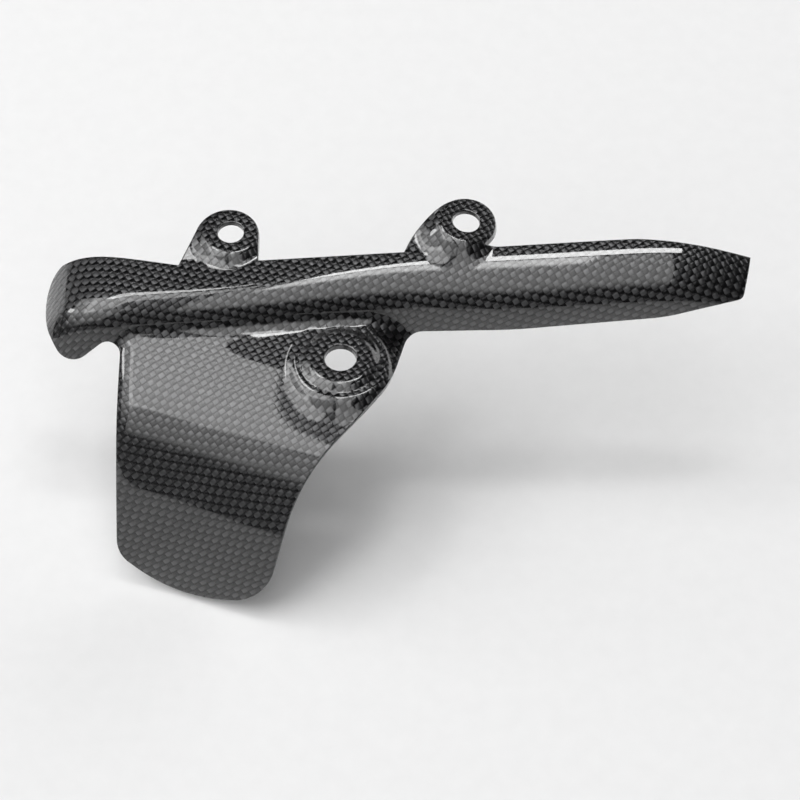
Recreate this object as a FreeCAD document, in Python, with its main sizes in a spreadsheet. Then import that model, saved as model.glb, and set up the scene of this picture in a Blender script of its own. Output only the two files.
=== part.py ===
import FreeCAD, Part

import math
import os

import Sketcher

# A moulded carbon laminate cover for a motorcycle swingarm: one shell with a flat top strip, a rolled
# shoulder, a side plate that bends down over the arm, two bolt tabs and a stepped bolt boss.
# X runs along the arm to the tapered tip, Z is the bolt axis and -Y is the outer side of the arm.
# The origin is the centre of the plate's bolt hole, on its flat seat.

SIZES = {
    # laminate
    "wall": 1.6,
    # ends of the lay-up before it is trimmed
    "skin_toe_end": -102,
    "skin_tip_end": 136,
    # flat strip along the top: its back edge, height and width
    "back_edge_offset": 33.2,
    "back_edge_skew": 1.9,
    "strip_height": 11.3,
    "strip_climb": 2.9,
    "strip_width_toe": 10.3,
    "strip_width_tip": 1.8,
    "strip_narrow_from": -45,
    "strip_narrow_to": 30,
    # rolled shoulder and the flank below it
    "roll_radius_toe": 9.2,
    "roll_radius_tip": 18,
    "roll_grow_from": -45,
    "roll_grow_to": 60,
    "flank_lean_toe": 66,
    "flank_lean_tip": 88,
    "lean_from": 8,
    "lean_to": 44,
    "flank_depth": 1.8,
    "flank_extra": 14,
    "plate_edge_roll": -68.5,
    "plate_edge_roll_length": 11,
    "plate_profile_from": -66.5,
    "notch_roll": 13,
    "notch_roll_length": 24,
    # side plate: valley, shelf, bend and skirt, with the bend turned in plan
    "valley_radius": 5,
    "shelf_radius": 130,
    "shelf_length": 39,
    "bend_turn": 21.3,
    "bend_start_tilt": 18,
    "bend_radius": 33,
    "bend_end_tilt": 52,
    "skirt_radius": 130,
    "skirt_end_tilt": 82,
    # toe curls down at one end, tip droops at the other
    "toe_curl_from": -68,
    "toe_curl_length": 24,
    "tip_droop_from": 100,
    "tip_radius": 84,
    # flanges that the tabs are cut from
    "flange_length": 26,
    "flange_crease_length": 2,
    "front_flange_rise": 6,
    "rear_flange_rise": 10,
    "flange_flat_to": -78,
    "flange_front_from": -50,
    "flange_front_to": -20,
    "flange_rear_from": 22,
    # bolt holes and their seats
    "plate_hole_diameter": 10.2,
    "plate_seat_radius": 10.6,
    "plate_seat_step": 1.6,
    "terrace_radius": 15.6,
    "terrace_depth": 9,
    "front_hole_x": -36,
    "front_hole_y": 42.3,
    "front_hole_diameter": 8.4,
    "front_seat_height": 12,
    "rear_hole_x": 40.5,
    "rear_hole_y": 42.8,
    "rear_hole_diameter": 8.8,
    "rear_seat_height": 17,
    "rear_seat_tilt": 8,
    "tab_seat_radius": 9.2,
    "tab_seat_thickness": 2,
    "tab_seat_depth": 8,
    "seat_headroom": 16,
    "step_lean": 46,
    "step_edge_radius": 0.8,
    # plan outline of the back edge and the tabs
    "toe_flare_angle": 11.8,
    "front_tab_root_toe": -52.8,
    "front_tab_end_x": -37.3,
    "front_tab_end_y": 41.5,
    "front_tab_end_radius": 10.6,
    "front_tab_root_tip": -26.8,
    "rear_tab_root_toe": 20.3,
    "rear_tab_side_x": 25.6,
    "rear_tab_side": 45.6,
    "rear_tab_side_radius": 30,
    "rear_tab_end_radius": 9.8,
    "rear_tab_root_tip": 46.6,
    "tip_back_x": 96,
    "tip_back_radius": 60,
    "tip_end_y": 29.9,
    # far edge of both outlines, clear of the laminate
    "outline_reach": 160,
    # face outline, drawn on a plane tilted to face the plate
    "face_tilt": 37,
    "toe_top_x": -93.6,
    "toe_top": 34.6,
    "toe_top_radius": 15,
    "toe_end_x": -98.2,
    "toe_end": 14,
    "toe_end_radius": 22,
    "toe_low_x": -89.4,
    "toe_low": -3.8,
    "toe_low_radius": 6.5,
    "plate_front_x": -71.3,
    "plate_front_top": 9,
    "plate_front_notch_radius": 4,
    "plate_low_front_x": -73.6,
    "plate_low_front": -64,
    "plate_low_front_radius": 9,
    "plate_foot_x": -54,
    "plate_foot": -78.4,
    "plate_foot_radius": 54,
    "plate_low_rear_x": -24.8,
    "plate_low_rear": -79.4,
    "plate_low_rear_radius": 14,
    "waist_x": -12.5,
    "waist": -38,
    "waist_radius": 75,
    "boss_corner_x": 16.9,
    "boss_corner": -7.8,
    "boss_corner_radius": 22,
    "rear_notch_x": 22,
    "rear_notch": 8.4,
    "rear_notch_radius": 6,
    "flank_edge_x": 56,
    "flank_edge": 9.0,
    "flank_edge_radius": 150,
    "taper_x": 105,
    "taper": 13,
    "taper_radius": 60,
    "tip_low_x": 130,
    "tip_low": 18.9,
    "tip_low_radius": 2.5,
    "tip_end_x": 133,
    "tip_end": 34.5,
}

doc = FreeCAD.newDocument("swingarm_cover")
sheet = doc.addObject("Spreadsheet::Sheet", "Sizes")
for row, (alias, value) in enumerate(SIZES.items(), start=1):
    sheet.set(f"A{row}", alias)
    sheet.set(f"B{row}", str(value))
    sheet.setAlias(f"B{row}", alias)
doc.recompute()


def size(alias):
    """A driving dimension, read from the sheet."""
    return float(getattr(sheet, alias))


def angle(alias):
    """A driving angle, in radians."""
    return math.radians(size(alias))


def ease(value, start, length):
    """0 before start, 1 past start + length, and a smooth step between."""
    part = min(max((value - start) / length, 0.0), 1.0)
    return part * part * (3.0 - 2.0 * part)


def between(x, near, far, start, end):
    """A size that changes smoothly along X from its toe value to its tip value."""
    return size(near) + (size(far) - size(near)) * ease(x, size(start), size(end) - size(start))


def back_edge(x):
    return size("back_edge_offset") + x * math.tan(angle("back_edge_skew"))


def strip_level(x):
    """Height of the strip: it climbs to the tip and falls away at both ends.

    The toe's curl tightens as it goes, and is 45 degrees steep one curl length from its start.
    """
    level = size("strip_height") + x * math.tan(angle("strip_climb"))
    curl = max(size("toe_curl_from") - x, 0.0)
    droop = max(x - size("tip_droop_from"), 0.0)
    return level - curl**3 / (3.0 * size("toe_curl_length") ** 2) - droop**2 / (2.0 * size("tip_radius"))


def flange_rise(x):
    """Rise of the tab flange towards the back, in radians: none at the toe, then front tab and rear tab."""
    rise_start = size("flange_front_from") - size("flange_flat_to")
    front = size("front_flange_rise") * ease(x, size("flange_flat_to"), rise_start)
    change = size("rear_flange_rise") - size("front_flange_rise")
    rear = change * ease(x, size("flange_front_to"), size("flange_rear_from") - size("flange_front_to"))
    return math.radians(front + rear)


def flank_length(x):
    """The flank is short beside the plate and runs on past it, at the toe and from the notch to the tip."""
    roll = size("plate_edge_roll_length")
    past_plate = ease(-x, -size("plate_edge_roll"), roll)
    past_notch = ease(x, size("notch_roll"), size("notch_roll_length"))
    return size("flank_depth") + size("flank_extra") * (past_plate + past_notch)


def profile(x):
    """Points of the outer skin across the arm at x, from the flange's back edge to the foot of the skirt.

    Each stretch is (points, length, tilt at its end): the tilt below level changes evenly along it.
    """
    rise = flange_rise(x)
    lean = math.radians(between(x, "flank_lean_toe", "flank_lean_tip", "lean_from", "lean_to"))
    roll = between(x, "roll_radius_toe", "roll_radius_tip", "roll_grow_from", "roll_grow_to")
    width = between(x, "strip_width_toe", "strip_width_tip", "strip_narrow_from", "strip_narrow_to")
    shelf = size("shelf_length") + x * math.tan(angle("bend_turn"))
    bend_start = angle("bend_start_tilt")
    bend_end = angle("bend_end_tilt")
    skirt_end = angle("skirt_end_tilt")
    shelf_start = bend_start - shelf / size("shelf_radius")
    crease = size("flange_crease_length")
    stretches = (
        (2, size("flange_length"), rise),
        (2, crease, 0.0),
        (2, width, 0.0),
        (5, roll * lean, lean),
        (2, flank_length(x), lean),
        (3, size("valley_radius") * (lean - shelf_start), shelf_start),
        (3, shelf, bend_start),
        (3, size("bend_radius") * (bend_end - bend_start), bend_end),
        (3, size("skirt_radius") * (skirt_end - bend_end), skirt_end),
    )
    y = back_edge(x) + size("flange_length") * math.cos(rise) + crease * math.cos(rise / 2.0)
    z = strip_level(x) + size("flange_length") * math.sin(rise) + crease * math.sin(rise / 2.0)
    tilt = rise
    points = [FreeCAD.Vector(x, y, z)]
    for count, length, end_tilt in stretches:
        turn = (end_tilt - tilt) / count
        for _ in range(count):
            middle = tilt + turn / 2.0
            y -= math.cos(middle) * length / count
            z -= math.sin(middle) * length / count
            tilt += turn
            points.append(FreeCAD.Vector(x, y, z))
    return points


def stations():
    """Places along X of the skin's cross sections: closer where the toe curls and the plate's edges roll."""
    toe = size("skin_toe_end")
    plate = size("plate_profile_from")
    notch = size("notch_roll")
    notch_end = notch + size("notch_roll_length")
    tip = size("skin_tip_end")
    stops = (
        (toe, plate, 7),
        (plate, notch, 7),
        (notch, notch_end, 4),
        (notch_end, tip, 7),
    )
    places = [toe]
    for start, end, count in stops:
        places += [start + (end - start) * step / count for step in range(1, count + 1)]
    return places


def surface(net):
    """A smooth bicubic surface over a net of control points, with evenly spaced knots."""
    degree = 3
    spans = [len(net) - degree, len(net[0]) - degree]
    knots = [[float(k) for k in range(n + 1)] for n in spans]
    mults = [[degree + 1] + [1] * (n - 1) + [degree + 1] for n in spans]
    made = Part.BSplineSurface()
    made.buildFromPolesMultsKnots(net, *mults, *knots, False, False, degree, degree)
    return made


def normals(net):
    """Unit normals of the net, pointing out of the cover."""
    last_row = len(net) - 1
    last = len(net[0]) - 1
    found = []
    for i, line in enumerate(net):
        along = [net[min(i + 1, last_row)][j] - net[max(i - 1, 0)][j] for j in range(last + 1)]
        across = [line[min(j + 1, last)] - line[max(j - 1, 0)] for j in range(last + 1)]
        row = [across[j].cross(along[j]) for j in range(last + 1)]
        found.append([n.normalize() for n in row])
    return found


outer_net = [profile(x) for x in stations()]
inner_net = [
    [point - normal * size("wall") for point, normal in zip(points, directions)]
    for points, directions in zip(outer_net, normals(outer_net))
]
outer = surface(outer_net).toShape()
inner = surface(inner_net).toShape()
sides = [Part.makeRuledSurface(a, b) for a, b in zip(outer.Edges, inner.Edges)]
blank_shell = Part.makeShell([outer, inner] + sides)
blank_shell.sewShape()
blank_solid = Part.makeSolid(blank_shell)
if blank_solid.Volume < 0:
    blank_solid.reverse()
blank = doc.addObject("Part::Feature", "laminate_blank")
blank.Shape = blank_solid

# Space above the laminate's inner face: it keeps the seats from reaching below the laminate.
above = doc.addObject("Part::Feature", "above_inner_face")
above.Shape = inner.extrude(FreeCAD.Vector(0, 0, size("seat_headroom")))


def bind(item, **expressions):
    """Drives an object's properties from the sheet. A double underscore in a name stands for a dot."""
    for name, expression in expressions.items():
        item.setExpression(name.replace("__", "."), expression)


def frustum(name, x, y, top, top_radius, depth, tilt="0"):
    """A seat with sloping sides: its top face is centred at x, y, top and may be tilted towards the tip."""
    item = doc.addObject("Part::Cone", name)
    item.Placement.Rotation = FreeCAD.Rotation(FreeCAD.Vector(0, 1, 0), sheet.evalExpression(tilt))
    bind(
        item,
        Radius2=top_radius,
        Radius1=f"{top_radius} + ({depth}) * tan(Sizes.step_lean * 1 deg)",
        Height=depth,
        Placement__Base__x=f"{x} - ({depth}) * sin({tilt} * 1 deg)",
        Placement__Base__y=y,
        Placement__Base__z=f"{top} - ({depth}) * cos({tilt} * 1 deg)",
    )
    return item


def rounded(item):
    """Rounds the top edge of a seat."""
    doc.recompute()
    top = max(range(len(item.Shape.Edges)), key=lambda i: item.Shape.Edges[i].BoundBox.Center.z)
    made = doc.addObject("Part::Fillet", f"{item.Name}_rounded")
    made.Base = item
    made.Edges = [(top + 1, size("step_edge_radius"), size("step_edge_radius"))]
    return made


def bore(name, x, y, top, diameter, tilt="0"):
    """A round bolt hole through a seat, along the seat's own axis."""
    reach = "Sizes.tab_seat_depth * 2"
    item = doc.addObject("Part::Cylinder", name)
    item.Placement.Rotation = FreeCAD.Rotation(FreeCAD.Vector(0, 1, 0), sheet.evalExpression(tilt))
    bind(
        item,
        Radius=f"{diameter} / 2",
        Height=f"{reach} * 2",
        Placement__Base__x=f"{x} - {reach} * sin({tilt} * 1 deg)",
        Placement__Base__y=y,
        Placement__Base__z=f"{top} - {reach} * cos({tilt} * 1 deg)",
    )
    return item


# The hollow behind a seat leaves the seat's thickness above it and the wall round it.
SIDE = "Sizes.wall / cos(Sizes.step_lean * 1 deg)"
FRONT = ("Sizes.front_hole_x", "Sizes.front_hole_y")
REAR = ("Sizes.rear_hole_x", "Sizes.rear_hole_y")
TAB_HOLLOW = f"Sizes.tab_seat_radius + Sizes.tab_seat_thickness * tan(Sizes.step_lean * 1 deg) - {SIDE}"
TERRACE_HOLLOW = f"Sizes.terrace_radius + Sizes.wall * tan(Sizes.step_lean * 1 deg) - {SIDE}"
TILT = "Sizes.rear_seat_tilt"
THICK = "Sizes.tab_seat_thickness"

seats = [
    frustum("plate_seat", "0", "0", "0", "Sizes.plate_seat_radius", "Sizes.plate_seat_step + Sizes.wall / 2"),
    frustum(
        "plate_terrace", "0", "0", "-Sizes.plate_seat_step", "Sizes.terrace_radius", "Sizes.terrace_depth"
    ),
    frustum(
        "front_tab_seat", *FRONT, "Sizes.front_seat_height", "Sizes.tab_seat_radius", "Sizes.tab_seat_depth"
    ),
    frustum(
        "rear_tab_seat",
        *REAR,
        "Sizes.rear_seat_height",
        "Sizes.tab_seat_radius",
        "Sizes.tab_seat_depth",
        TILT,
    ),
]
hollows = [
    frustum(
        "plate_hollow", "0", "0", "-Sizes.plate_seat_step - Sizes.wall", TERRACE_HOLLOW, "Sizes.terrace_depth"
    ),
    frustum(
        "front_tab_hollow", *FRONT, f"Sizes.front_seat_height - {THICK}", TAB_HOLLOW, "Sizes.tab_seat_depth"
    ),
    frustum(
        "rear_tab_hollow",
        f"Sizes.rear_hole_x - {THICK} * sin({TILT} * 1 deg)",
        "Sizes.rear_hole_y",
        f"Sizes.rear_seat_height - {THICK} * cos({TILT} * 1 deg)",
        TAB_HOLLOW,
        "Sizes.tab_seat_depth",
        TILT,
    ),
]
holes = [
    bore("plate_bolt_hole", "0", "0", "0", "Sizes.plate_hole_diameter"),
    bore("front_tab_bolt_hole", *FRONT, "Sizes.front_seat_height", "Sizes.front_hole_diameter"),
    bore("rear_tab_bolt_hole", *REAR, "Sizes.rear_seat_height", "Sizes.rear_hole_diameter", TILT),
]


def fuse(name, items):
    made = doc.addObject("Part::MultiFuse", name)
    made.Shapes = items
    return made


def combine(kind, name, base, tool):
    made = doc.addObject(kind, name)
    made.Base = base
    made.Tool = tool
    return made


rounded_seats = fuse("seats", [rounded(seat) for seat in seats])
seat_skin = combine("Part::Common", "seats_above_laminate", rounded_seats, above)
raised = fuse("laminate_with_seats", [blank, seat_skin])
hollowed = combine("Part::Cut", "laminate_hollowed", raised, fuse("hollows", hollows))


def tangent_point(start, centre, radius, side):
    """Where a line from start touches a circle, on its left (side 1) or right (side -1) as seen from start."""
    reach = centre - start
    heading = math.atan2(reach.y, reach.x) + math.asin(radius / reach.Length) * side
    length = math.sqrt(reach.Length**2 - radius**2)
    return start + FreeCAD.Vector(math.cos(heading), math.sin(heading), 0) * length


def aim(start, kind, values, side):
    """Where a straight from start to a corner heads: for the corner, or for the side of a round end."""
    place = FreeCAD.Vector(values[0], values[1], 0)
    return tangent_point(start, place, values[2], side) if kind == "end" else place


def corner_ends(kind, before, here, after, radius):
    """Start, end and centre of the arc at a corner of an outline."""
    if kind == "end":
        return tangent_point(before, here, radius, 1), tangent_point(after, here, radius, -1), here
    back = (before - here).normalize()
    on = (after - here).normalize()
    half = back.getAngle(on) / 2.0
    run = radius / math.tan(half)
    centre = here + (back + on).normalize() * (radius / math.sin(half))
    return here + back * run, here + on * run, centre


def outline(name, corners):
    """A closed sketch through corners (kind, x, y, radius), clockwise, each value an expression on the sheet.

    A "sharp" corner is a point, a "round" one has the radius and an "end" is a tab end centred on x, y.
    """
    sketch = doc.addObject("Sketcher::SketchObject", name)
    count = len(corners)
    values = [[float(sheet.evalExpression(e)) for e in corner[1:]] for corner in corners]
    places = [FreeCAD.Vector(v[0], v[1], 0) for v in values]
    arcs = []
    starts = []
    stops = []
    for i, corner in enumerate(corners):
        here = places[i]
        following = (i + 1) % count
        before = aim(here, corners[i - 1][0], values[i - 1], -1)
        after = aim(here, corners[following][0], values[following], 1)
        if corner[0] == "sharp":
            arcs.append(None)
            starts.append(here)
            stops.append(here)
            continue
        start, stop, centre = corner_ends(corner[0], before, here, after, values[i][2])
        clockwise = corner[0] == "end" or (here - before).cross(after - here).z < 0
        first, second = (stop, start) if clockwise else (start, stop)
        angles = [math.atan2((p - centre).y, (p - centre).x) for p in (first, second)]
        circle = Part.Circle(centre, FreeCAD.Vector(0, 0, 1), values[i][2])
        index = sketch.addGeometry(Part.ArcOfCircle(circle, *angles))
        arcs.append((index, 2 if clockwise else 1, 1 if clockwise else 2))
        starts.append(start)
        stops.append(stop)
    lines = [sketch.addGeometry(Part.LineSegment(stops[i], starts[(i + 1) % count])) for i in range(count)]

    def drive(constraint, expression):
        sketch.setExpression(f"Constraints[{sketch.addConstraint(constraint)}]", expression)

    for i, corner in enumerate(corners):
        into, out = lines[i - 1], lines[i]
        if arcs[i] is None:
            sketch.addConstraint(Sketcher.Constraint("Coincident", into, 2, out, 1))
            place = (out, 1)
        else:
            arc, near, far = arcs[i]
            sketch.addConstraint(Sketcher.Constraint("Tangent", into, 2, arc, near))
            sketch.addConstraint(Sketcher.Constraint("Tangent", arc, far, out, 1))
            drive(Sketcher.Constraint("Radius", arc, values[i][2]), corner[3])
            place = (arc, 3)
        if corner[0] == "round":
            point = sketch.addGeometry(Part.Point(places[i]), True)
            sketch.addConstraint(Sketcher.Constraint("PointOnObject", point, 1, into))
            sketch.addConstraint(Sketcher.Constraint("PointOnObject", point, 1, out))
            place = (point, 1)
        drive(Sketcher.Constraint("DistanceX", -1, 1, *place, values[i][0]), corner[1])
        drive(Sketcher.Constraint("DistanceY", -1, 1, *place, values[i][1]), corner[2])
    return sketch


def sharp(x, y):
    return "sharp", x, y


def rounding(name):
    """A rounded corner of an outline, whose place and radius are named after it."""
    return "round", f"Sizes.{name}_x", f"Sizes.{name}", f"Sizes.{name}_radius"


def on_back_edge(x):
    return f"Sizes.back_edge_offset + {x} * tan(Sizes.back_edge_skew * 1 deg)"


def root(name):
    """The corner where a tab leaves the strip's back edge."""
    return sharp(f"Sizes.{name}", on_back_edge(f"Sizes.{name}"))


REACH = "Sizes.outline_reach"
FRONT_ROOT = "Sizes.front_tab_root_toe"
FLARE = f"({REACH} + {FRONT_ROOT}) * tan(Sizes.toe_flare_angle * 1 deg)"
plan = outline(
    "plan_outline",
    [
        sharp(f"-{REACH}", f"-{REACH}"),
        sharp(f"-{REACH}", f"{on_back_edge(FRONT_ROOT)} + {FLARE}"),
        root("front_tab_root_toe"),
        ("end", "Sizes.front_tab_end_x", "Sizes.front_tab_end_y", "Sizes.front_tab_end_radius"),
        root("front_tab_root_tip"),
        root("rear_tab_root_toe"),
        rounding("rear_tab_side"),
        ("end", *REAR, "Sizes.rear_tab_end_radius"),
        root("rear_tab_root_tip"),
        ("round", "Sizes.tip_back_x", on_back_edge("Sizes.tip_back_x"), "Sizes.tip_back_radius"),
        sharp(REACH, "Sizes.tip_end_y"),
        sharp(REACH, f"-{REACH}"),
    ],
)
face = outline(
    "face_outline",
    [
        sharp("Sizes.plate_front_x", REACH),
        sharp("Sizes.tip_end_x", REACH),
        sharp("Sizes.tip_end_x", "Sizes.tip_end"),
        rounding("tip_low"),
        rounding("taper"),
        rounding("flank_edge"),
        rounding("rear_notch"),
        rounding("boss_corner"),
        rounding("waist"),
        rounding("plate_low_rear"),
        rounding("plate_foot"),
        rounding("plate_low_front"),
        ("round", "Sizes.plate_front_x", "Sizes.plate_front_top", "Sizes.plate_front_notch_radius"),
        rounding("toe_low"),
        rounding("toe_end"),
        rounding("toe_top"),
        sharp("Sizes.plate_front_x", "Sizes.toe_top"),
    ],
)
face.Placement.Rotation = FreeCAD.Rotation(FreeCAD.Vector(1, 0, 0), size("face_tilt"))


def prism(sketch):
    """A sketch's outline as a solid, far enough both ways to trim the laminate."""
    made = doc.addObject("Part::Extrusion", f"{sketch.Name}_prism")
    made.Base = sketch
    made.DirMode = "Normal"
    made.Solid = True
    bind(made, LengthFwd=REACH, LengthRev=REACH)
    return made


trimmed_in_plan = combine("Part::Common", "laminate_trimmed_in_plan", hollowed, prism(plan))
trimmed = combine("Part::Common", "laminate_trimmed", trimmed_in_plan, prism(face))
cover = combine("Part::Cut", "cover_shell", trimmed, fuse("bolt_holes", holes))
cover.Label = "cover_shell"
doc.recompute()

for item in doc.Objects:
    if "Invalid" in item.State or "Error" in item.State:
        raise RuntimeError(f"{item.Label} did not recompute: {item.State}")
    if hasattr(item, "Shape") and (item.Shape.isNull() or not item.Shape.isValid()):
        raise RuntimeError(f"{item.Label} has no sound shape")
if len(cover.Shape.Solids) != 1:
    raise RuntimeError("the cover is not one piece")
os.makedirs("parts", exist_ok=True)
cover.Shape.exportStep("parts/cover_shell.step")
print(cover.Label, round(cover.Shape.Volume, 1), cover.Shape.BoundBox)
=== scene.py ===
import math

import bpy
import numpy as np
from mathutils import Matrix, Quaternion, Vector
from mathutils.geometry import delaunay_2d_cdt
from mathutils.kdtree import KDTree


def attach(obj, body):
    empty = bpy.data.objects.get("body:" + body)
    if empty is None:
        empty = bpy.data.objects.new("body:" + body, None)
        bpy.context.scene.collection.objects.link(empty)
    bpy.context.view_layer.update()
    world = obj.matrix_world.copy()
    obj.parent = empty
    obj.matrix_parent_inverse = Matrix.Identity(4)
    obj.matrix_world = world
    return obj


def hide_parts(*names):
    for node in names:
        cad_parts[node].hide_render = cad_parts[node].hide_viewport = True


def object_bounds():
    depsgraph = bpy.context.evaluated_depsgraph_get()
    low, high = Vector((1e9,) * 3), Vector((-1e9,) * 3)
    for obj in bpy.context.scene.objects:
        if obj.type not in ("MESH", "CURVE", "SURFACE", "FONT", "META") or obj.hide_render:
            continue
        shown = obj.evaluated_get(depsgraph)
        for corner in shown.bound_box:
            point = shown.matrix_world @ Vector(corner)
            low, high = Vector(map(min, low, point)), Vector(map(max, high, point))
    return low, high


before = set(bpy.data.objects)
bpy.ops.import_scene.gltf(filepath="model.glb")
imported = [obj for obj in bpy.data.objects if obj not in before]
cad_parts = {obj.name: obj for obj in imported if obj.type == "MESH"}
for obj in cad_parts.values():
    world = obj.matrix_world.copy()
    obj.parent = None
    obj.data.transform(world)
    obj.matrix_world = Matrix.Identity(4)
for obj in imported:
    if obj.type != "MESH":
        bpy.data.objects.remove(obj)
cad_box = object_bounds()

# A moulded carbon laminate cover for a motorcycle swingarm, dressed with its woven, clear-coated finish.
# Shapes are worked out in millimetres, with the sizes of the solid, and written to meshes in metres.

MM = 0.001

SIZES = {
    # laminate
    "wall": 1.6,
    # ends of the lay-up before it is trimmed
    "skin_toe_end": -102,
    "skin_tip_end": 136,
    # flat strip along the top: its back edge, height and width
    "back_edge_offset": 33.2,
    "back_edge_skew": 1.9,
    "strip_height": 11.3,
    "strip_climb": 2.9,
    "strip_width_toe": 10.3,
    "strip_width_tip": 1.8,
    "strip_narrow_from": -45,
    "strip_narrow_to": 30,
    # rolled shoulder and the flank below it
    "roll_radius_toe": 9.2,
    "roll_radius_tip": 18,
    "roll_grow_from": -45,
    "roll_grow_to": 60,
    "flank_lean_toe": 66,
    "flank_lean_tip": 88,
    "lean_from": 8,
    "lean_to": 44,
    "flank_depth": 1.8,
    "flank_extra": 14,
    "plate_edge_roll": -68.5,
    "plate_edge_roll_length": 11,
    "plate_profile_from": -66.5,
    "notch_roll": 13,
    "notch_roll_length": 24,
    # side plate: valley, shelf, bend and skirt, with the bend turned in plan
    "valley_radius": 5,
    "shelf_radius": 130,
    "shelf_length": 39,
    "bend_turn": 21.3,
    "bend_start_tilt": 18,
    "bend_radius": 33,
    "bend_end_tilt": 52,
    "skirt_radius": 130,
    "skirt_end_tilt": 82,
    # toe curls down at one end, tip droops at the other
    "toe_curl_from": -68,
    "toe_curl_length": 24,
    "tip_droop_from": 100,
    "tip_radius": 84,
    # flanges that the tabs are cut from
    "flange_length": 26,
    "flange_crease_length": 2,
    "front_flange_rise": 6,
    "rear_flange_rise": 10,
    "flange_flat_to": -78,
    "flange_front_from": -50,
    "flange_front_to": -20,
    "flange_rear_from": 22,
    # bolt holes and their seats
    "plate_hole_diameter": 10.2,
    "plate_seat_radius": 10.6,
    "plate_seat_step": 1.6,
    "terrace_radius": 15.6,
    "terrace_depth": 9,
    "front_hole_x": -36,
    "front_hole_y": 42.3,
    "front_hole_diameter": 8.4,
    "front_seat_height": 12,
    "rear_hole_x": 40.5,
    "rear_hole_y": 42.8,
    "rear_hole_diameter": 8.8,
    "rear_seat_height": 17,
    "rear_seat_tilt": 8,
    "tab_seat_radius": 9.2,
    "tab_seat_thickness": 2,
    "tab_seat_depth": 8,
    "step_lean": 46,
    # plan outline of the back edge and the tabs
    "toe_flare_angle": 11.8,
    "front_tab_root_toe": -52.8,
    "front_tab_end_x": -37.3,
    "front_tab_end_y": 41.5,
    "front_tab_end_radius": 10.6,
    "front_tab_root_tip": -26.8,
    "rear_tab_root_toe": 20.3,
    "rear_tab_side_x": 25.6,
    "rear_tab_side": 45.6,
    "rear_tab_side_radius": 30,
    "rear_tab_end_radius": 9.8,
    "rear_tab_root_tip": 46.6,
    "tip_back_x": 96,
    "tip_back_radius": 60,
    "tip_end_y": 29.9,
    # far edge of both outlines, clear of the laminate
    "outline_reach": 160,
    # face outline, drawn on a plane tilted to face the plate
    "face_tilt": 37,
    "toe_top_x": -93.6,
    "toe_top": 34.6,
    "toe_top_radius": 15,
    "toe_end_x": -98.2,
    "toe_end": 14,
    "toe_end_radius": 22,
    "toe_low_x": -89.4,
    "toe_low": -3.8,
    "toe_low_radius": 6.5,
    "plate_front_x": -71.3,
    "plate_front_top": 9,
    "plate_front_notch_radius": 4,
    "plate_low_front_x": -73.6,
    "plate_low_front": -64,
    "plate_low_front_radius": 9,
    "plate_foot_x": -54,
    "plate_foot": -78.4,
    "plate_foot_radius": 54,
    "plate_low_rear_x": -24.8,
    "plate_low_rear": -79.4,
    "plate_low_rear_radius": 14,
    "waist_x": -12.5,
    "waist": -38,
    "waist_radius": 75,
    "boss_corner_x": 16.9,
    "boss_corner": -7.8,
    "boss_corner_radius": 22,
    "rear_notch_x": 22,
    "rear_notch": 8.4,
    "rear_notch_radius": 6,
    "flank_edge_x": 56,
    "flank_edge": 9.0,
    "flank_edge_radius": 150,
    "taper_x": 105,
    "taper": 13,
    "taper_radius": 60,
    "tip_low_x": 130,
    "tip_low": 18.9,
    "tip_low_radius": 2.5,
    "tip_end_x": 133,
    "tip_end": 34.5,
}

# Fine form of the moulded edges, which the solid leaves sharp
SEAT_EDGE_BLEND = 1.3
SEAT_FOOT_BLEND = 2.2
RIM_ROUND = 0.5
RIM_INNER_ROUND = 0.3
# Spacing of the mesh points over the shell, along its edges and round the seats
SHELL_SPACING = 1.2
EDGE_SPACING = 0.9
SEAT_SPACING = 0.5
SEAT_MESH_MARGIN = 3.5
# Least distance of a mesh point from an edge, in spacings, and least steps of an arc
EDGE_CLEARANCE = 0.6
ARC_STEPS = 4
# Places of the points round a rim, in degrees from the outer face and from the inner face
RIM_TURNS = (30, 60, 90)
RIM_INNER_TURNS = (90, 40)


def size(name):
    return float(SIZES[name])


def angle(name):
    return math.radians(size(name))


def ease(value, start, length):
    """0 before start, 1 past start + length, and a smooth step between."""
    part = min(max((value - start) / length, 0.0), 1.0)
    return part * part * (3.0 - 2.0 * part)


def between(x, near, far, start, end):
    """A size that changes smoothly along X from its toe value to its tip value."""
    return size(near) + (size(far) - size(near)) * ease(x, size(start), size(end) - size(start))


def back_edge(x):
    return size("back_edge_offset") + x * math.tan(angle("back_edge_skew"))


def strip_level(x):
    """Height of the strip: it climbs to the tip and falls away at both ends.

    The toe's curl tightens as it goes, and is 45 degrees steep one curl length from its start.
    """
    level = size("strip_height") + x * math.tan(angle("strip_climb"))
    curl = max(size("toe_curl_from") - x, 0.0)
    droop = max(x - size("tip_droop_from"), 0.0)
    return level - curl**3 / (3.0 * size("toe_curl_length") ** 2) - droop**2 / (2.0 * size("tip_radius"))


def flange_rise(x):
    """Rise of the tab flange towards the back, in radians: none at the toe, then front tab and rear tab."""
    rise_start = size("flange_front_from") - size("flange_flat_to")
    front = size("front_flange_rise") * ease(x, size("flange_flat_to"), rise_start)
    change = size("rear_flange_rise") - size("front_flange_rise")
    rear = change * ease(x, size("flange_front_to"), size("flange_rear_from") - size("flange_front_to"))
    return math.radians(front + rear)


def flank_length(x):
    """The flank is short beside the plate and runs on past it, at the toe and from the notch to the tip."""
    past_plate = ease(-x, -size("plate_edge_roll"), size("plate_edge_roll_length"))
    past_notch = ease(x, size("notch_roll"), size("notch_roll_length"))
    return size("flank_depth") + size("flank_extra") * (past_plate + past_notch)


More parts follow.
